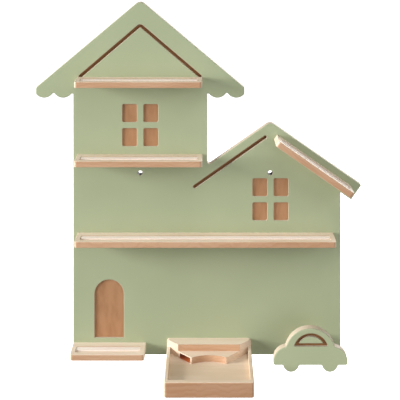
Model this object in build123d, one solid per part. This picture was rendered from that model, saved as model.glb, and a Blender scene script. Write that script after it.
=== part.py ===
from build123d import *
from math import cos, radians, sin, sqrt, tan
import os

# A wooden doll's house for the wall: a flat panel cut as two joined houses, with
# ledges, a tray and a small car on its front.
#
# Frame, in millimetres: the origin is midway between the two wall holes, on the face
# that lies against the wall. +X is to the right, +Z is up and the front faces -Y.
# Outlines are drawn as (x, z) on the front; "out" is the distance from the panel's front.

# How far a cutter reaches past the face that it cuts
OVERCUT = 1.0

# Panel
PANEL_T = 15.0
PANEL_EDGE_R = 1.0
PANEL_BOTTOM = -309.0
CORNER_R = 3.0
PEAK_R = 12.0
RECESS = 2.0
RECESS_EDGE = 0.4

# Tall house on the left
TOWER_X = -110.5
TOWER_HALF = 113.9
TOWER_APEX = 293.8
TOWER_PITCH = 40.0
EAVE_HALF = 177.2
EAVE_INNER = 117.0
LOBE_R = 18.0
LOBE_Z = 145.7
LOBE_X = 131.2
LOBE_PITCH = 32.3
LOBE_VALLEY_R = 2.0

# Low house on the right
WING_APEX_X = 111.3
WING_APEX = 86.6
WING_PITCH = 34.8
WING_WALL = 230.1
WING_SLOPE = 188.0
WING_EAVE_T = 30.5
WING_CORNER_R = 1.5
VALLEY_R = 4.0

# Windows, door and the grooves that draw the two roofs
PANE_W = 25.0
PANE_H = 30.5
PANE_GAP_X = 11.0
PANE_GAP_Z = 10.5
PANE_R = 2.5
WINDOWS = [(-110.5, 81.3), (110.9, -44.8)]
DOOR_X = -163.2
DOOR_W = 50.0
DOOR_H = 98.4
DOOR_Z = -279.6
GROOVE_W = 5.6
GROOVE_DEEP = 6.0
GABLE_GROOVE_APEX = 251.4
GABLE_GROOVE_FOOT = 164.2
GABLE_GROOVE_HALF = 102.0
GABLE_GROOVE_R = 5.0
SLOPE_GROOVE = [(-18.0, -23.2), (102.1, 60.9)]

# Wall holes
WALL_HOLE_R = 4.0
WALL_HOLE_SPACING = 221.0

# Ledges: name, centre x, top z, length, screws
LEDGE_OUT = 45.0
LEDGE_T = 10.0
LEDGE_END_R = 4.5
LEDGE_EDGE_R = 0.8
LEDGES = [
    ("attic", -110.9, 163.2, 212.4, 3),
    ("upper", -110.9, 32.0, 212.4, 3),
    ("long", 0.4, -101.2, 434.0, 4),
    ("door", -162.3, -288.0, 123.6, 2),
]
ROOF_LEDGE_START = 21.5
ROOF_LEDGE_LENGTH = 152.6
ROOF_LEDGE_BELOW = 11.1
ROOF_LEDGE_SCREWS = 2

# Groove along each ledge, with a steel strip in it
CHANNEL_END = 7.5
CHANNEL_OUT = 15.3
CHANNEL_W = 20.4
CHANNEL_DEEP = 2.5
CHANNEL_R = 2.0
STRIP_OUT = 15.8
STRIP_W = 9.8
STRIP_T = 2.0
STRIP_PLAY = 1.0
STRIP_R = 1.0

# Tray
TRAY_X = 6.5
TRAY_W = 142.0
TRAY_OUT = 130.0
TRAY_BOTTOM = -315.5
TRAY_FLOOR = -301.6
TRAY_RIM = -291.0
TRAY_BACK = -280.2
TRAY_BACK_OUT = 24.5
TRAY_SIDE_W = 5.5
TRAY_FRONT_W = 8.4
TRAY_CUT = 76.3
STEP_HALF = 28.6
STEP_ARC_OUT = 39.4
POCKET_R = 3.0
TRAY_CORNER_R = 4.0
TRAY_EDGE_R = 1.6
TRAY_BACK_R = 4.0

# Way out for a lead: from the pocket under the step, then down through the panel's foot
CABLE_X = -33.3
CABLE_W = 18.0
CABLE_TOP = -293.0
CABLE_DEEP = 45.0

# Car, its spacer and the dowels between them
CAR_X = 172.8
CAR_T = 15.0
CAR_GAP = 45.0
CAR_HALF = 60.8
CAR_ROOF = -238.0
CAR_UNDER = -297.6
CABIN_R = 41.5
CABIN_HALF = 40.0
FENDER_R = 24.0
WHEEL_X = 31.9
WHEEL_R = 13.0
CAR_FOOT_R = 3.0
CAR_ARCH_R = 3.0
CAR_WINDOW_X = 0.6
CAR_WINDOW_HALF = 28.0
CAR_WINDOW_SILL = -267.2
CAR_WINDOW_H = 21.8
CAR_WINDOW_BAND = 5.6
CAR_WINDOW_R = 1.5
CAR_WINDOW_DEEP = 5.0
SPACER_W = 44.0
SPACER_H = 22.0
SPACER_TOP = -271.0
DOWEL_R = 3.0
DOWEL_LENGTH = 20.0
DOWEL_X = 16.0

# Countersunk wood screws, driven from the back
SCREW_R = 2.0
SCREW_HEAD_R = 4.0
SCREW_HEAD_H = 2.0
SCREW_TIP = 5.0
SCREW_TIP_R = 0.4
SCREW_SLOT_L = 4.4
SCREW_SLOT_W = 0.9
SCREW_SLOT_DEEP = 1.2
LEDGE_SCREW_L = 40.0
LEDGE_SCREW_INSET = 22.0
TRAY_SCREW_L = 35.0
TRAY_SCREW_X = [-22.0, 10.0, 42.0]
TRAY_SCREW_Z = -293.0
CAR_SCREW_L = 50.0
CAR_SCREW_X = 9.0


def on_front(sketch, depth):
    """A cutter for a recess of this depth in the panel's front."""
    return extrude(Plane.XZ.offset(PANEL_T - depth) * sketch, amount=depth + OVERCUT)


def rounded(sketch, corners, radius):
    """The sketch with a radius at each of the corners named by a point."""
    picked = [sketch.vertices().sort_by_distance(Vector(x, z, 0))[0] for x, z in corners]
    return fillet(picked, radius)


def both_sides(x, z):
    """The same height on the tower's two sides."""
    return [(TOWER_X - x, z), (TOWER_X + x, z)]


def down_slope(along, below):
    """A point on the right slope of the wing: along it from the apex, and below it."""
    pitch = radians(WING_PITCH)
    x = WING_APEX_X + along * cos(pitch) - below * sin(pitch)
    return x, WING_APEX - along * sin(pitch) - below * cos(pitch)


def tower_outline():
    """The tall house: straight walls, a gable and two scallops under each eave."""
    tip = TOWER_APEX - EAVE_HALF * tan(radians(TOWER_PITCH))
    inner = LOBE_Z - sqrt(LOBE_R**2 - (LOBE_X - EAVE_INNER) ** 2)
    valley = LOBE_Z - sqrt(LOBE_R**2 - (LOBE_PITCH / 2) ** 2)
    roof = Polygon(
        (-EAVE_HALF, valley), (EAVE_HALF, valley), (EAVE_HALF, tip), (0, TOWER_APEX), (-EAVE_HALF, tip),
        align=None,
    )
    lobe_places = [(side * (LOBE_X + i * LOBE_PITCH), LOBE_Z) for side in (-1, 1) for i in (0, 1)]
    lobes = [Pos(*place) * Circle(LOBE_R) for place in lobe_places]
    clip = Pos(0, tip) * Rectangle(2 * EAVE_HALF, 2 * LOBE_R, align=(Align.CENTER, Align.MAX))
    shelf = Pos(0, inner) * Rectangle(2 * EAVE_INNER, LOBE_R, align=(Align.CENTER, Align.MIN))
    walls = Pos(0, PANEL_BOTTOM) * Rectangle(
        2 * TOWER_HALF, tip - PANEL_BOTTOM, align=(Align.CENTER, Align.MIN)
    )
    return Pos(TOWER_X, 0) * (roof + [lobe & clip for lobe in lobes] + shelf + walls)


def house_valley():
    """The inner corner where the low house's roof meets the tall house's wall."""
    x = TOWER_X + TOWER_HALF
    return x, WING_APEX - (WING_APEX_X - x) * tan(radians(WING_PITCH))


def wing_outline():
    """The low house: its right slope ends in a square-cut eave beyond the wall."""
    valley_x, valley = house_valley()
    under = down_slope(WING_SLOPE, WING_EAVE_T)
    wall_top = under[1] + (under[0] - WING_WALL) * tan(radians(WING_PITCH))
    return Polygon(
        (TOWER_X, PANEL_BOTTOM), (WING_WALL, PANEL_BOTTOM), (WING_WALL, wall_top), under,
        down_slope(WING_SLOPE, 0), (WING_APEX_X, WING_APEX), (valley_x, valley), (TOWER_X, valley),
        align=None,
    )


def panel_outline():
    """Both houses in one outline, with its corners rounded."""
    outline = tower_outline() + wing_outline()
    tip = TOWER_APEX - EAVE_HALF * tan(radians(TOWER_PITCH))
    lobe_end = LOBE_Z - sqrt(LOBE_R**2 - (EAVE_HALF - LOBE_X - LOBE_PITCH) ** 2)
    valley = LOBE_Z - sqrt(LOBE_R**2 - (LOBE_PITCH / 2) ** 2)
    outline = rounded(outline, [(TOWER_X, TOWER_APEX), (WING_APEX_X, WING_APEX)], PEAK_R)
    outline = rounded(outline, both_sides(LOBE_X + LOBE_PITCH / 2, valley), LOBE_VALLEY_R)
    outline = rounded(outline, both_sides(EAVE_HALF, tip) + both_sides(EAVE_HALF, lobe_end), CORNER_R)
    wing_corners = [down_slope(WING_SLOPE, 0), down_slope(WING_SLOPE, WING_EAVE_T)]
    outline = rounded(outline, wing_corners, WING_CORNER_R)
    outline = rounded(outline, [house_valley()], VALLEY_R)
    foot_corners = [(TOWER_X - TOWER_HALF, PANEL_BOTTOM), (WING_WALL, PANEL_BOTTOM)]
    return rounded(outline, foot_corners, CORNER_R)


def window_sketch(x, z):
    """Four panes round a cross."""
    panes = GridLocations(PANE_W + PANE_GAP_X, PANE_H + PANE_GAP_Z, 2, 2)
    return [Pos(x, z) * place * RectangleRounded(PANE_W, PANE_H, PANE_R) for place in panes]


def door_sketch():
    """A doorway with a round head."""
    radius = DOOR_W / 2
    straight = DOOR_H - radius
    sill = Pos(DOOR_X, DOOR_Z) * Rectangle(DOOR_W, straight, align=(Align.CENTER, Align.MIN))
    return sill + Pos(DOOR_X, DOOR_Z + straight) * Circle(radius)


def groove_sketch(line):
    """A groove of constant width along a line, with round ends."""
    groove = trace(line, line_width=GROOVE_W)
    for end in (line @ 0, line @ 1):
        groove += Pos(end) * Circle(GROOVE_W / 2)
    return groove


def gable_groove_sketch():
    """The groove that repeats the tower's gable and runs down to the attic ledge."""
    left, right = both_sides(GABLE_GROOVE_HALF, GABLE_GROOVE_FOOT)
    return groove_sketch(FilletPolyline(left, (TOWER_X, GABLE_GROOVE_APEX), right, radius=GABLE_GROOVE_R))


def screw(x, z, length):
    """A countersunk wood screw along -Y, its head flush with the back, and its hole."""
    shank_l = length - SCREW_HEAD_H - SCREW_TIP
    bottom = (Align.CENTER, Align.CENTER, Align.MIN)
    body = Cone(SCREW_HEAD_R, SCREW_R, SCREW_HEAD_H, align=bottom)
    body += Pos(0, 0, SCREW_HEAD_H) * Cylinder(SCREW_R, shank_l, align=bottom)
    body += Pos(0, 0, SCREW_HEAD_H + shank_l) * Cone(SCREW_R, SCREW_TIP_R, SCREW_TIP, align=bottom)
    cross = Box(SCREW_SLOT_L, SCREW_SLOT_W, SCREW_SLOT_DEEP, align=bottom)
    cross += Box(SCREW_SLOT_W, SCREW_SLOT_L, SCREW_SLOT_DEEP, align=bottom)
    place = Plane.XZ * Pos(x, z, 0)
    return place * (body - cross), place * body


def spread(centre, length, count):
    """Places for count screws along a ledge, the outer two set in from its ends."""
    first = -length / 2 + LEDGE_SCREW_INSET
    step = (length - 2 * LEDGE_SCREW_INSET) / (count - 1)
    return [centre + first + i * step for i in range(count)]


def screw_places():
    """Each group of screws: its places on the panel and its length."""
    groups = {}
    for name, x, top, length, count in LEDGES:
        groups[name + "_ledge_screws"] = (
            [(place, top - LEDGE_T / 2 - CHANNEL_DEEP / 2) for place in spread(x, length, count)],
            LEDGE_SCREW_L,
        )
    middle = ROOF_LEDGE_START + ROOF_LEDGE_LENGTH / 2
    below = ROOF_LEDGE_BELOW + LEDGE_T / 2 + CHANNEL_DEEP / 2
    groups["roof_ledge_screws"] = (
        [down_slope(along, below) for along in spread(middle, ROOF_LEDGE_LENGTH, ROOF_LEDGE_SCREWS)],
        LEDGE_SCREW_L,
    )
    groups["tray_screws"] = ([(TRAY_X + x, TRAY_SCREW_Z) for x in TRAY_SCREW_X], TRAY_SCREW_L)
    spacer_middle = SPACER_TOP - SPACER_H / 2
    groups["car_screws"] = ([(CAR_X + side * CAR_SCREW_X, spacer_middle) for side in (-1, 1)], CAR_SCREW_L)
    return groups


def cable_way(deep, bottom):
    """A cutter for the way out of the tray for a lead: this deep, and down to this height."""
    way = Box(CABLE_W, deep, CABLE_TOP - bottom, align=(Align.CENTER, Align.MAX, Align.MAX))
    return Pos(CABLE_X, 0, CABLE_TOP) * way


def eased(board):
    """The board with a small chamfer round every opening in its front."""
    front = board.faces().sort_by(Axis.Y)[0]
    return chamfer([edge for wire in front.inner_wires() for edge in wire.edges()], RECESS_EDGE)


def back_panel(holes):
    """The panel with its recesses, wall holes and countersunk screw holes."""
    panel = extrude(Plane.XZ * panel_outline(), amount=PANEL_T)
    front = panel.faces().sort_by(Axis.Y)[0]
    back = panel.faces().sort_by(Axis.Y)[-1]
    panel = fillet(front.outer_wire().edges() + back.outer_wire().edges(), PANEL_EDGE_R)
    for x, z in WINDOWS:
        for pane in window_sketch(x, z):
            panel -= on_front(pane, RECESS)
    panel -= on_front(door_sketch(), RECESS)
    panel -= on_front(gable_groove_sketch(), GROOVE_DEEP)
    panel -= on_front(groove_sketch(Polyline(*SLOPE_GROOVE)), GROOVE_DEEP)
    for side in (-1, 1):
        hole = Pos(side * WALL_HOLE_SPACING / 2, 0) * Circle(WALL_HOLE_R)
        panel -= extrude(Plane.XZ * hole, amount=PANEL_T)
    panel = eased(panel)
    panel -= cable_way(PANEL_T, PANEL_BOTTOM - OVERCUT)
    for hole in holes:
        panel -= hole
    return panel


def ledge(length):
    """A ledge in its own frame: back face on y=0, top on z=0, with its channel."""
    bar = Box(length, LEDGE_OUT, LEDGE_T, align=(Align.CENTER, Align.MAX, Align.MAX))
    uprights = bar.edges().filter_by(Axis.Z).group_by(Axis.Y)[0]
    bar = fillet(uprights, LEDGE_END_R)
    rims = bar.faces().filter_by(Axis.Z).edges()
    bar = fillet([edge for edge in rims if edge.center().Y < -LEDGE_EDGE_R], LEDGE_EDGE_R)
    channel = RectangleRounded(length - 2 * CHANNEL_END, CHANNEL_W, CHANNEL_R)
    place = Pos(0, -CHANNEL_OUT - CHANNEL_W / 2, -CHANNEL_DEEP)
    return bar - extrude(place * channel, amount=CHANNEL_DEEP + OVERCUT)


def strip(length):
    """The steel strip that lies in the back half of a ledge's channel, in the ledge's frame."""
    outline = RectangleRounded(length - 2 * CHANNEL_END - STRIP_PLAY, STRIP_W, STRIP_R)
    return extrude(Pos(0, -STRIP_OUT - STRIP_W / 2, -CHANNEL_DEEP) * outline, amount=STRIP_T)


def ledge_places():
    """Each ledge's name, length and place."""
    places = [(name, length, Pos(x, -PANEL_T, top)) for name, x, top, length, _ in LEDGES]
    x, z = down_slope(ROOF_LEDGE_START + ROOF_LEDGE_LENGTH / 2, ROOF_LEDGE_BELOW)
    places.append(("roof", ROOF_LEDGE_LENGTH, Pos(x, -PANEL_T, z) * Rot(0, WING_PITCH, 0)))
    return places


def tray_step_sketch():
    """The step at the back of the pocket: two 45 degree cuts and a hollow arc."""
    corner_out = TRAY_CUT - STEP_HALF
    side_out = TRAY_CUT - TRAY_W / 2
    outline = Polyline(
        (STEP_HALF, -corner_out), (TRAY_W / 2, -side_out), (TRAY_W / 2, 0), (-TRAY_W / 2, 0),
        (-TRAY_W / 2, -side_out), (-STEP_HALF, -corner_out),
    )
    hollow = ThreePointArc((-STEP_HALF, -corner_out), (0, -STEP_ARC_OUT), (STEP_HALF, -corner_out))
    return make_face([outline, hollow])


def on_outside(edge):
    """Whether an edge of the tray lies on its front or side faces, and off the panel."""
    middle = edge.center()
    if middle.Y > -TRAY_EDGE_R:
        return False
    return abs(middle.X) > TRAY_W / 2 - TRAY_CORNER_R or middle.Y < -TRAY_OUT + TRAY_CORNER_R


def charging_tray():
    """A block with a pocket for a device, a step with a hollow, and a raised back."""
    step = tray_step_sketch()
    block = Box(TRAY_W, TRAY_OUT, TRAY_RIM - TRAY_BOTTOM, align=(Align.CENTER, Align.MAX, Align.MIN))
    block = Pos(0, 0, TRAY_BOTTOM) * block
    raised = step & Rectangle(TRAY_W, TRAY_BACK_OUT, align=(Align.CENTER, Align.MAX))
    block += extrude(Pos(0, 0, TRAY_BOTTOM) * raised, amount=TRAY_BACK - TRAY_BOTTOM)
    block = fillet(block.edges().filter_by(Axis.Y).group_by(Axis.Z)[-1], TRAY_BACK_R)
    fronts = block.edges().filter_by(Axis.Z).group_by(Axis.Y)[0]
    block = fillet(fronts, TRAY_CORNER_R)
    pocket_l = TRAY_OUT - TRAY_FRONT_W
    pocket = Rectangle(TRAY_W - 2 * TRAY_SIDE_W, pocket_l, align=(Align.CENTER, Align.MAX))
    pocket = fillet(pocket.vertices().group_by(Axis.Y)[0], POCKET_R)
    block -= extrude(Pos(0, 0, TRAY_FLOOR) * (pocket - step), amount=TRAY_BACK - TRAY_FLOOR)
    rims = block.faces().filter_by(Axis.Z).edges()
    block = fillet([edge for edge in rims if on_outside(edge)], TRAY_EDGE_R)
    block = Pos(TRAY_X, -PANEL_T, 0) * block
    return block - cable_way(PANEL_T + CABLE_DEEP, TRAY_FLOOR)


def car_outline():
    """A small car from the side: domed cabin, two fenders and two wheels."""
    cabin_z = CAR_ROOF - CABIN_R
    shoulder = cabin_z + sqrt(CABIN_R**2 - CABIN_HALF**2)
    fender_x = CAR_HALF - FENDER_R
    fender_z = shoulder - sqrt(FENDER_R**2 - (CABIN_HALF - fender_x) ** 2)
    half_turn = FENDER_R * sin(radians(45))
    fenders = [
        ThreePointArc(
            (side * CABIN_HALF, shoulder),
            (side * (fender_x + half_turn), fender_z + half_turn),
            (side * CAR_HALF, fender_z),
        )
        for side in (-1, 1)
    ]
    cabin = ThreePointArc((-CABIN_HALF, shoulder), (0, CAR_ROOF), (CABIN_HALF, shoulder))
    base = Polyline(
        (-CAR_HALF, fender_z), (-CAR_HALF, CAR_UNDER), (CAR_HALF, CAR_UNDER), (CAR_HALF, fender_z)
    )
    body = make_face(fenders + [cabin, base])
    body = rounded(body, [(-CAR_HALF, CAR_UNDER), (CAR_HALF, CAR_UNDER)], CAR_FOOT_R)
    wheel_z = PANEL_BOTTOM + WHEEL_R
    wheels = [Pos(side * WHEEL_X, wheel_z) * Circle(WHEEL_R) for side in (-1, 1)]
    reach = sqrt(WHEEL_R**2 - (wheel_z - CAR_UNDER) ** 2)
    arches = [(side * (WHEEL_X + end * reach), CAR_UNDER) for side in (-1, 1) for end in (-1, 1)]
    shoulders = [(side * CABIN_HALF, shoulder) for side in (-1, 1)]
    return rounded(body + wheels, arches + shoulders, CAR_ARCH_R)


def car_window_sketch():
    """The half-moon band of the car's window."""
    radius = (CAR_WINDOW_HALF**2 + CAR_WINDOW_H**2) / (2 * CAR_WINDOW_H)
    centre = CAR_WINDOW_SILL + CAR_WINDOW_H - radius
    moon = Pos(0, centre) * Circle(radius)
    above = Rectangle(4 * radius, 4 * radius, align=(Align.CENTER, Align.MIN))
    inner = Pos(0, centre) * Circle(radius - CAR_WINDOW_BAND)
    outer_half = moon & Pos(0, CAR_WINDOW_SILL) * above
    corners = [(side * CAR_WINDOW_HALF, CAR_WINDOW_SILL) for side in (-1, 1)]
    outer_half = rounded(outer_half, corners, CAR_WINDOW_R)
    return outer_half - (inner & Pos(0, CAR_WINDOW_SILL + CAR_WINDOW_BAND) * above)


def dowels():
    """Two dowels, half in the spacer and half in the car."""
    out = PANEL_T + CAR_GAP - DOWEL_LENGTH / 2
    spacer_middle = SPACER_TOP - SPACER_H / 2
    plane = Plane.XZ.offset(out)
    return [
        extrude(plane * Pos(CAR_X + side * DOWEL_X, spacer_middle) * Circle(DOWEL_R), amount=DOWEL_LENGTH)
        for side in (-1, 1)
    ]


def car_plate(pins):
    """The car, with its window band and the dowel holes in its back."""
    out = PANEL_T + CAR_GAP
    plate = extrude(Plane.XZ.offset(out) * (Pos(CAR_X, 0) * car_outline()), amount=CAR_T)
    front = plate.faces().sort_by(Axis.Y)[0]
    back = plate.faces().sort_by(Axis.Y)[-1]
    plate = fillet(front.outer_wire().edges() + back.outer_wire().edges(), PANEL_EDGE_R)
    band = Plane.XZ.offset(out + CAR_T - CAR_WINDOW_DEEP) * Pos(CAR_X + CAR_WINDOW_X, 0) * car_window_sketch()
    plate -= extrude(band, amount=CAR_WINDOW_DEEP + OVERCUT)
    for pin in pins:
        plate -= pin
    return plate


def car_spacer(holes):
    """The block that holds the car off the panel."""
    spacer = Box(SPACER_W, CAR_GAP, SPACER_H, align=(Align.CENTER, Align.MAX, Align.MAX))
    spacer = Pos(CAR_X, -PANEL_T, SPACER_TOP) * spacer
    for hole in holes:
        spacer -= hole
    return spacer


def build():
    """Every piece of the house, by name."""
    nodes = {}
    holes = {}
    for name, (places, length) in screw_places().items():
        pairs = [screw(x, z, length) for x, z in places]
        nodes[name] = Compound(children=[solid for solid, _ in pairs])
        holes[name] = [hole for _, hole in pairs]
    pins = dowels()
    nodes["back_panel"] = back_panel([hole for group in holes.values() for hole in group])
    for name, length, place in ledge_places():
        bar = place * ledge(length)
        for hole in holes[name + "_ledge_screws"]:
            bar -= hole
        nodes[name + "_ledge"] = bar
        nodes[name + "_strip"] = place * strip(length)
    tray = charging_tray()
    for hole in holes["tray_screws"]:
        tray -= hole
    nodes["charging_tray"] = tray
    nodes["car_plate"] = car_plate(pins)
    nodes["car_spacer"] = car_spacer(holes["car_screws"] + pins)
    nodes["car_dowels"] = Compound(children=pins)
    return nodes


os.makedirs("parts", exist_ok=True)
for node, shape in build().items():
    export_step(shape, f"parts/{node}.step")
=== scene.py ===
import math
import bmesh
import bpy
from mathutils import Matrix, Vector


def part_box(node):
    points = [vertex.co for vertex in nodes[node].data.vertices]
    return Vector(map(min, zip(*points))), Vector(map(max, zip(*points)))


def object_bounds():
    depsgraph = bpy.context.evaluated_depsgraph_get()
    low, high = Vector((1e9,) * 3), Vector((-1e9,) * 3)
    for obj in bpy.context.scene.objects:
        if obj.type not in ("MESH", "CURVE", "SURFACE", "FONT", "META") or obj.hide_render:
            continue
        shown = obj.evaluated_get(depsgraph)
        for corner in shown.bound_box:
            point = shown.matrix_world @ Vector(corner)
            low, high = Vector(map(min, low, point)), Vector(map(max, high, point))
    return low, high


# A painted wall panel cut as two joined houses, with bare wooden ledges, a tray and a
# small car. Every piece is a CAD node: this script gives them their finishes, and adds
# a white set, the lights and the camera. Lengths are in metres.

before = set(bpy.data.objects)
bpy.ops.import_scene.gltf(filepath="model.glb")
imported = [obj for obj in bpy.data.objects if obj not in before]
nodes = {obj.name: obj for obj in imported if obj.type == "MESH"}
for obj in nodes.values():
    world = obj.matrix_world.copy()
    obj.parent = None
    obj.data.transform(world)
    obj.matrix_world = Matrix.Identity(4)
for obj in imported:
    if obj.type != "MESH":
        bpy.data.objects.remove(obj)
cad_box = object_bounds()
panel_low, panel_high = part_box("back_panel")
PANEL_FRONT = panel_low.y
PANEL_T = panel_high.y - panel_low.y
MM = 0.001
TOUCH = 0.05 * MM

# Where the finishes change on the panel: the recess depth, the two wall holes, how far
# round the edge the paint runs, and the facing of the bare bevels.
RECESS = 2 * MM
WALL_HOLE_R = 4 * MM
WALL_HOLE_SPACING = 221 * MM
PAINT_EDGE = 1.2 * MM
BEVEL_FACING = math.cos(math.radians(45))
ROOF_PITCH = math.radians(34.8)
PLY_COUNT = 9

# Where they change on the tray: the span over which its tone changes from the darker front, painted shade, to
# the paler back, painted bounce light; the lead's way out, which is painted with shade; and the plane of the
# step's left cut, given by -x - y on it.
PAINTED_SHADE_SPAN = (-70 * MM, -60 * MM)
LEAD_X = -33.3 * MM
LEAD_Z = -297.3 * MM
LEAD_W = 18 * MM
LEAD_H = 8.6 * MM
STEP_CUT = 84.8 * MM


# ---------------------------------------------------------------- node materials


class Shader:
    """A node material: short calls for the few kinds of node that the finishes use."""

    def __init__(self, name):
        self.mat = bpy.data.materials.new(name)
        self.mat.use_nodes = True
        self.tree = self.mat.node_tree
        self.bsdf = self.tree.nodes["Principled BSDF"]

    def node(self, kind, **settings):
        made = self.tree.nodes.new(kind)
        for key, value in settings.items():
            setattr(made, key, value)
        return made

    def feed(self, socket, value):
        """Links the socket to another node's output, or gives it a plain value."""
        if isinstance(value, bpy.types.NodeSocket):
            self.tree.links.new(value, socket)
        else:
            socket.default_value = value

    def position(self):
        return self.node("ShaderNodeTexCoord").outputs["Object"]

    def normal(self):
        return self.node("ShaderNodeNewGeometry").outputs["Normal"]

    def math(self, operation, a, b=0.0, clamp=False):
        made = self.node("ShaderNodeMath", operation=operation, use_clamp=clamp)
        self.feed(made.inputs[0], a)
        self.feed(made.inputs[1], b)
        return made.outputs[0]

    def split(self, vector):
        made = self.node("ShaderNodeSeparateXYZ")
        self.feed(made.inputs[0], vector)
        return made.outputs

    def join(self, x, y, z):
        made = self.node("ShaderNodeCombineXYZ")
        for socket, value in zip(made.inputs, (x, y, z)):
            self.feed(socket, value)
        return made.outputs[0]

    def mapped(self, vector, scale, turn=(0.0, 0.0, 0.0)):
        """The vector turned and then scaled: one factor for each axis."""
        made = self.node("ShaderNodeMapping", vector_type="TEXTURE")
        self.feed(made.inputs["Vector"], vector)
        made.inputs["Rotation"].default_value = turn
        made.inputs["Scale"].default_value = [1.0 / s for s in scale]
        return made.outputs[0]

    def noise(self, vector, scale=1.0, detail=2.0, roughness=0.5):
        made = self.node("ShaderNodeTexNoise")
        self.feed(made.inputs["Vector"], vector)
        made.inputs["Scale"].default_value = scale
        made.inputs["Detail"].default_value = detail
        made.inputs["Roughness"].default_value = roughness
        return made.outputs["Fac"]

    def between(self, value, low, high, to_low=0.0, to_high=1.0):
        """The value mapped from one range to another, and held there, with soft ends."""
        made = self.node("ShaderNodeMapRange", interpolation_type="SMOOTHSTEP")
        for socket, number in zip(made.inputs, (value, low, high, to_low, to_high)):
            self.feed(socket, number)
        return made.outputs[0]

    def mix(self, factor, a, b):
        """A blend of two colours."""
        made = self.node("ShaderNodeMix", data_type="RGBA")
        self.feed(made.inputs["Factor"], factor)
        self.feed(made.inputs[6], a)
        self.feed(made.inputs[7], b)
        return made.outputs[2]

    def bump(self, height, depth, over=None):
        """A surface relief of this depth in metres, over another relief if there is one."""
        made = self.node("ShaderNodeBump")
        made.inputs["Strength"].default_value = 1.0
        made.inputs["Distance"].default_value = depth
        self.feed(made.inputs["Height"], height)
        if over is not None:
            self.feed(made.inputs["Normal"], over)
        return made.outputs[0]

    def finish(self, colour, roughness, relief=None, **constants):
        """Feeds the shader, and sets its constant sockets."""
        self.feed(self.bsdf.inputs["Base Color"], colour)
        self.feed(self.bsdf.inputs["Roughness"], roughness)
        if relief is not None:
            self.feed(self.bsdf.inputs["Normal"], relief)
        for name, value in constants.items():
            self.bsdf.inputs[name.replace("_", " ")].default_value = value
        return self.mat


def rgb(red, green, blue):
    """A linear colour with full alpha."""
    return (red, green, blue, 1.0)


# Linear colours. Wood is painted paler on its tops, lower faces and ends, a painted sheen and highlight, and
# is warmer on its long edges.
SHEEN_FACE_PALE = rgb(0.80, 0.665, 0.53)
SHEEN_FACE_WARM = rgb(0.69, 0.54, 0.39)
EDGE_PALE = rgb(0.625, 0.385, 0.235)
EDGE_WARM = rgb(0.500, 0.268, 0.145)
WOOD_PORE = rgb(0.36, 0.19, 0.095)
PLY_PALE = rgb(0.66, 0.55, 0.42)
PLY_DARK = rgb(0.50, 0.42, 0.315)
MILLED_LIGHT = rgb(0.46, 0.240, 0.118)
MILLED_DARK = rgb(0.39, 0.194, 0.090)
GROOVE = rgb(0.33, 0.155, 0.060)
HOLE_SHADE = rgb(0.035, 0.024, 0.016)
LEAD_WAY_SHADE = rgb(0.72, 0.27, 0.095)
PAINT_LIGHT = rgb(0.408, 0.456, 0.284)
PAINT_DARK = rgb(0.384, 0.432, 0.266)
# The car's green is the panel's green made lighter: painted light, for the car standing further out into the
# lamps.
CAR_LIT_PAINT_LIGHT = rgb(0.465, 0.515, 0.318)
CAR_LIT_PAINT_DARK = rgb(0.440, 0.488, 0.298)
EDGE_SHADE = rgb(0.19, 0.20, 0.145)
COAT_LIGHT = rgb(0.93, 0.83, 0.765)
COAT_DARK = rgb(0.88, 0.775, 0.70)
ZINC_LIGHT = rgb(0.70, 0.68, 0.62)
ZINC_DARK = rgb(0.52, 0.50, 0.45)
WHITE = rgb(1.0, 1.0, 1.0)

# How wood grows: where the pith lies beside and below a piece, and the ring spacing.
PITH_BESIDE = 110 * MM
PITH_BELOW = -160 * MM
RING_PITCH = 4.2 * MM
RING_WANDER = 20 * MM
WOOD_RELIEF = 0.05 * MM
PAINT_RELIEF = 0.03 * MM

# How much warmer than plain wood a piece is, or how much paler where it is below 0.
LEDGE_TONES = {"attic": 0.05, "upper": 0.0, "long": 0.0, "door": -0.3}
# The tray is warmer and darker towards its front and paler towards its back and inside: painted shade and
# painted bounce light.
TRAY_TONE = 0.5
TRAY_BACK_PAINTED_LIGHT_TONE = -0.1


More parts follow.
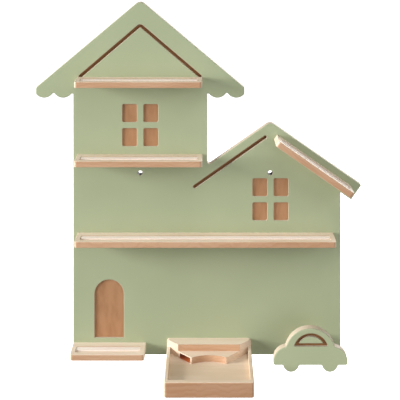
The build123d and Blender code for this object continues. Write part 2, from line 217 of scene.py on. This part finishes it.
def wood_colour(sh, turn=(0.0, 0.0, 0.0), seed=0.0, tone=0.0, painted_light_back_tone=None):
    """Solid wood with its grain along X, before the turn: colour and relief height.

    Growth rings circle a pith that lies off the piece, so faces along the grain show
    long lines and ends show arcs. Fine pores run along the grain. The upper and lower
    faces and the ends are painted paler than the long edges: a painted sheen and
    highlight, set by which way the surface faces. The seed moves the piece to another
    place in the tree. The tone warms it, and the back of it can have a tone of its own,
    which paints a difference of light between front and back.
    """
    place = sh.mapped(sh.position(), (1, 1, 1), turn)
    along, across, up = sh.split(place)
    across = sh.math("ADD", across, seed)
    drift = sh.noise(sh.join(sh.math("MULTIPLY", along, 3.0), across, up), 9.0, 2.0)
    side = sh.math("SUBTRACT", across, PITH_BESIDE + seed)
    rise = sh.math("SUBTRACT", up, PITH_BELOW)
    radius = sh.math("SQRT", sh.math("ADD", sh.math("MULTIPLY", side, side), sh.math("MULTIPLY", rise, rise)))
    wander = sh.math("MULTIPLY", drift, RING_WANDER)
    ring = sh.math("FRACT", sh.math("DIVIDE", sh.math("ADD", radius, wander), RING_PITCH))
    late = sh.between(ring, 0.30, 0.92)
    early = sh.between(ring, 0.92, 1.0, 1.0, 0.0)
    rings = sh.math("MULTIPLY", late, early)
    grain = sh.join(along, across, up)
    pores = sh.noise(sh.mapped(grain, (60, 1500, 1500)), 1.0, 3.0, 0.6)
    figure = sh.noise(sh.mapped(grain, (7, 55, 55)), 1.0, 3.0, 0.6)
    # Painted light: a paler tone towards the back, where the inside of a piece would take bounce light.
    if painted_light_back_tone is not None:
        tone = sh.between(sh.split(sh.position())[1], *PAINTED_SHADE_SPAN, tone, painted_light_back_tone)
    warm = sh.math("ADD", sh.math("MULTIPLY", rings, 0.28), tone)
    warm = sh.math("ADD", warm, sh.between(figure, 0.36, 0.68, 0.0, 0.62), clamp=True)
    end, _, level = sh.split(sh.mapped(sh.normal(), (1, 1, 1), turn))
    off_edge = sh.math("MAXIMUM", sh.math("ABSOLUTE", level), sh.math("ABSOLUTE", end))
    # Painted sheen and highlight: faces that point up, down or along the grain are painted paler than the
    # long edges.
    painted_sheen = sh.between(off_edge, 0.35, 0.85)
    pale = sh.mix(painted_sheen, EDGE_PALE, SHEEN_FACE_PALE)
    deep = sh.mix(painted_sheen, EDGE_WARM, SHEEN_FACE_WARM)
    colour = sh.mix(warm, pale, deep)
    flecks = sh.between(pores, 0.60, 0.80, 0.0, 0.22)
    colour = sh.mix(flecks, colour, WOOD_PORE)
    height = sh.math("SUBTRACT", sh.math("MULTIPLY", rings, 0.4), flecks)
    return colour, height


def oiled(sh, colour, height):
    """Sanded solid wood of this colour, with a thin oil finish."""
    relief = sh.bump(height, WOOD_RELIEF)
    roughness = sh.between(height, -0.3, 0.4, 0.60, 0.48)
    return sh.finish(colour, roughness, relief, IOR=1.45)


def wood_material(name, **facts):
    """A piece of plain wood: the facts are those that wood_colour takes."""
    sh = Shader(name)
    return oiled(sh, *wood_colour(sh, **facts))


def in_lead_way(sh):
    """Where the surface is inside the lead's way out, behind the left cut of the tray's step."""
    across, out, up = sh.split(sh.position())
    off_x = sh.math("ABSOLUTE", sh.math("SUBTRACT", across, LEAD_X))
    off_z = sh.math("ABSOLUTE", sh.math("SUBTRACT", up, LEAD_Z))
    behind = sh.math("MULTIPLY", sh.math("ADD", across, out), -1.0)
    inside = sh.math("LESS_THAN", off_x, LEAD_W / 2 + TOUCH)
    inside = sh.math("MULTIPLY", inside, sh.math("LESS_THAN", off_z, LEAD_H / 2 + TOUCH))
    return sh.math("MULTIPLY", inside, sh.math("LESS_THAN", behind, STEP_CUT - TOUCH))


def tray_material():
    """The tray's wood, with painted shade inside the lead's way out."""
    sh = Shader("tray_wood")
    colour, height = wood_colour(sh, seed=2.6, tone=TRAY_TONE, painted_light_back_tone=TRAY_BACK_PAINTED_LIGHT_TONE)
    # Painted shade: a deep orange inside the lead's way out, for the shade and the light bounced between its
    # wood walls.
    return oiled(sh, sh.mix(in_lead_way(sh), colour, LEAD_WAY_SHADE), height)


def ply_colour(sh, depth):
    """The edge of the board: five pale and four darker plies, stacked front to back."""
    place = sh.position()
    wavy = sh.math("MULTIPLY", sh.noise(place, 60.0, 2.0), 0.8 * MM)
    turn = sh.math("DIVIDE", sh.math("ADD", depth, wavy), PANEL_T / PLY_COUNT / math.pi)
    plies = sh.between(sh.math("SINE", turn), -0.3, 0.4)
    speck = sh.noise(place, 700.0, 3.0, 0.6)
    plies = sh.math("MULTIPLY", plies, sh.between(speck, 0.3, 0.6, 0.45, 0.8))
    return sh.mix(plies, PLY_PALE, PLY_DARK)


def in_wall_hole(sh, place):
    """Where the surface is inside one of the two wall holes, which are painted near black: painted shade."""
    across, _, up = sh.split(place)
    off = sh.math("SUBTRACT", sh.math("ABSOLUTE", across), WALL_HOLE_SPACING / 2)
    from_axis = sh.math("SQRT", sh.math("ADD", sh.math("MULTIPLY", off, off), sh.math("MULTIPLY", up, up)))
    return sh.math("LESS_THAN", from_axis, WALL_HOLE_R + TOUCH)


def painted_material(name, front, light, dark):
    """A board with its front at y=front: paint there, bare plies on its edges, bare face behind.

    Recesses are milled after painting, so their floors are bare, smooth and darker, and
    the narrow grooves, which go deeper, are darker still. The 45 degree bevels round all
    of them are bare too, while the rounded outer edge keeps a thin coat, painted darker
    where it turns away from the front: painted shade along the outline. Inside the two
    wall holes the colour is near black: painted shade.
    """
    sh = Shader(name)
    place = sh.position()
    depth = sh.math("SUBTRACT", sh.split(place)[1], front)
    facing = sh.math("MULTIPLY", sh.split(sh.normal())[1], -1.0)
    ragged = sh.math("SUBTRACT", sh.noise(place, 900.0, 3.0), 0.5)
    limit = sh.math("ADD", depth, sh.math("MULTIPLY", ragged, 0.3 * MM))
    painted = sh.between(limit, PAINT_EDGE * 0.85, PAINT_EDGE, 1.0, 0.0)
    off_bevel = sh.math("ABSOLUTE", sh.math("SUBTRACT", facing, BEVEL_FACING))
    painted = sh.math("MULTIPLY", painted, sh.between(off_bevel, 0.004, 0.012))

    cloud = sh.noise(place, 7.0, 3.0, 0.55)
    nap = sh.noise(place, 1400.0, 2.0, 0.6)
    paint = sh.mix(sh.between(cloud, 0.3, 0.7), light, dark)
    # Painted shade: the paint darkens where the surface turns away from the front, a dark outline along the
    # rounded edges.
    painted_edge_shade = sh.between(facing, 0.25, 0.92, 0.85, 0.0)
    paint = sh.mix(painted_edge_shade, paint, EDGE_SHADE)

    face, bare_height = wood_colour(sh, turn=(math.radians(90), 0, 0))
    level = sh.between(sh.math("ABSOLUTE", facing), 0.75, 0.90)
    bare = sh.mix(level, ply_colour(sh, depth), face)

    streaks = sh.noise(sh.mapped(place, (90, 90, 30)), 1.0, 3.0, 0.5)
    milled = sh.mix(sh.between(streaks, 0.35, 0.7), MILLED_LIGHT, MILLED_DARK)
    shallow = sh.between(depth, RECESS - 0.7 * MM, RECESS - 0.3 * MM)
    deep = sh.between(depth, RECESS + 0.4 * MM, RECESS + 1.0 * MM)
    floors = sh.math("MULTIPLY", shallow, sh.between(facing, 0.45, 0.75))
    bare = sh.mix(floors, bare, sh.mix(deep, milled, GROOVE))
    colour = sh.mix(painted, bare, paint)
    # Painted shade: near black inside the wall holes.
    colour = sh.mix(in_wall_hole(sh, place), colour, HOLE_SHADE)

    relief = sh.bump(bare_height, PAINT_RELIEF)
    relief = sh.bump(sh.math("MULTIPLY", nap, painted), PAINT_RELIEF, relief)
    roughness = sh.between(nap, 0.3, 0.7, 0.54, 0.62)
    return sh.finish(colour, roughness, relief, IOR=1.45)


def strip_material():
    """Off-white satin coating on sheet steel, very slightly uneven."""
    sh = Shader("strip_coat")
    place = sh.position()
    brushed = sh.noise(sh.mapped(place, (25, 900, 900)), 1.0, 3.0)
    cloud = sh.noise(place, 14.0, 2.0)
    colour = sh.mix(sh.between(cloud, 0.3, 0.7), COAT_LIGHT, COAT_DARK)
    roughness = sh.between(brushed, 0.3, 0.7, 0.30, 0.42)
    relief = sh.bump(brushed, 0.015 * MM)
    return sh.finish(colour, roughness, relief, Metallic=0.0, IOR=1.5)


def screw_material():
    """Zinc-plated steel, dull in patches."""
    sh = Shader("zinc_plate")
    place = sh.position()
    patches = sh.noise(place, 450.0, 4.0, 0.65)
    colour = sh.mix(sh.between(patches, 0.35, 0.7), ZINC_LIGHT, ZINC_DARK)
    roughness = sh.between(patches, 0.3, 0.75, 0.24, 0.46)
    relief = sh.bump(patches, 0.02 * MM)
    return sh.finish(colour, roughness, relief, Metallic=1.0)


def dress(name, mat):
    """Gives a CAD node its finish in every slot."""
    slots = nodes[name].data.materials
    for index in range(len(slots)):
        slots[index] = mat


def dress_all():
    """Every node's finish."""
    dress("back_panel", painted_material("panel_finish", PANEL_FRONT, PAINT_LIGHT, PAINT_DARK))
    car_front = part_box("car_plate")[0].y
    dress("car_plate", painted_material("car_finish", car_front, CAR_LIT_PAINT_LIGHT, CAR_LIT_PAINT_DARK))
    for index, (name, tone) in enumerate(LEDGE_TONES.items()):
        dress(name + "_ledge", wood_material(name + "_ledge_wood", seed=0.37 * index, tone=tone))
    dress("roof_ledge", wood_material("roof_ledge_wood", turn=(0, ROOF_PITCH, 0), seed=1.9))
    dress("charging_tray", tray_material())
    dress("car_spacer", wood_material("spacer_wood", seed=3.1))
    dress("car_dowels", wood_material("dowel_wood", turn=(0, 0, math.radians(90)), seed=4.4))
    coat = strip_material()
    zinc = screw_material()
    for name in nodes:
        if name.endswith("_strip"):
            dress(name, coat)
        if name.endswith("_screws"):
            dress(name, zinc)


# ---------------------------------------------------------------- white set, lights, camera

FLOOR_BELOW = 0.42
FLOOR_SIZE = 48.0
DOME_RADIUS = 35.0
SET_PALE = rgb(0.90, 0.90, 0.89)
SET_GREY = rgb(0.88, 0.88, 0.87)
ROOM_LIGHT = 0.30

# Soft boxes: name, place, size and power in watts. The key comes from the left, nearly in
# the panel's plane.
LIGHTS = [
    ("key", (-3.2, -0.9, 0.6), 1.2, 184.0),
    ("overhead", (0.4, -1.4, 3.0), 2.0, 25.0),
    ("fill", (2.6, -2.2, 1.2), 1.4, 21.0),
    ("fill_low", (1.6, -2.0, -0.3), 1.2, 9.5),
    ("behind", (1.2, 2.8, 0.9), 1.6, 60.0),
]


def stage_white(name, mesh):
    """Adds a white piece of the set that only shows: it neither lights nor shades the object."""
    piece = bpy.data.objects.new(name, mesh)
    bpy.context.scene.collection.objects.link(piece)
    piece.visible_diffuse = False
    piece.visible_glossy = False
    piece.visible_transmission = False
    piece.visible_shadow = False
    sh = Shader(name + "_white")
    drift = sh.noise(sh.position(), 0.5, 2.0)
    colour = sh.mix(drift, SET_PALE, SET_GREY)
    mesh.materials.append(sh.finish(colour, 0.9, Emission_Color=WHITE, Emission_Strength=1.0))


def make_set():
    """A plain white floor well below the object, which hangs, and a white dome round it all.

    The dome stays nearer than the furthest distance that the cameras of the other views see.
    """
    half = FLOOR_SIZE / 2
    z = cad_box[0].z - FLOOR_BELOW
    floor = bpy.data.meshes.new("floor")
    corners = [(-half, -half, z), (half, -half, z), (half, half, z), (-half, half, z)]
    floor.from_pydata(corners, [], [range(4)])
    stage_white("floor", floor)
    dome = bpy.data.meshes.new("dome")
    shape = bmesh.new()
    bmesh.ops.create_icosphere(shape, subdivisions=4, radius=DOME_RADIUS)
    shape.to_mesh(dome)
    shape.free()
    stage_white("dome", dome)


def make_light(name, place, size, power):
    """A square soft box at a place, facing the object."""
    data = bpy.data.lights.new(name, "AREA")
    data.shape = "SQUARE"
    data.size = size
    data.energy = power
    lamp = bpy.data.objects.new(name, data)
    lamp.location = place
    lamp.rotation_mode = "QUATERNION"
    target = Vector((0.0, PANEL_FRONT, 0.0))
    lamp.rotation_quaternion = (target - lamp.location).to_track_quat("-Z", "Y")
    bpy.context.scene.collection.objects.link(lamp)


def make_lights():
    """Every soft box, and an even light from the room."""
    world = bpy.data.worlds.new("studio")
    world.use_nodes = True
    room = world.node_tree.nodes["Background"]
    room.inputs["Color"].default_value = WHITE
    room.inputs["Strength"].default_value = ROOM_LIGHT
    bpy.context.scene.world = world
    for light in LIGHTS:
        make_light(*light)


# The view's axis slopes down, but the picture's plane stays parallel to the panel.
VIEW_X = 0.00527
VIEW_Z = 0.4726
VIEW_DISTANCE = 1.646
AIM = (-0.0088, -0.0459)
PICTURE_WIDTH = 0.680
SENSOR = 36.0


def make_camera():
    """A camera whose sideways and upward axes stay square to the panel, with no shift.

    Its parent's inverse holds the slanted axes, so that upright lines stay upright.
    """
    eye = Vector((VIEW_X, PANEL_FRONT - VIEW_DISTANCE, VIEW_Z))
    aim = Vector((AIM[0], PANEL_FRONT, AIM[1]))
    back = eye - aim
    data = bpy.data.cameras.new("view")
    data.sensor_width = SENSOR
    data.lens = SENSOR * back.length / PICTURE_WIDTH
    data.clip_start = 0.05
    data.clip_end = 100.0
    camera = bpy.data.objects.new("view", data)
    stand = bpy.data.objects.new("view_stand", None)
    for made in (stand, camera):
        bpy.context.scene.collection.objects.link(made)
    camera.parent = stand
    axes = Matrix.Identity(4)
    axes.col[0] = (1, 0, 0, 0)
    axes.col[1] = (0, 0, 1, 0)
    axes.col[2] = (*back.normalized(), 0)
    axes.col[3] = (*eye, 1)
    camera.matrix_parent_inverse = axes
    bpy.context.scene.camera = camera


dress_all()
make_set()
make_lights()
make_camera()
bpy.context.scene.view_settings.view_transform = "Standard"
bpy.context.view_layer.update()
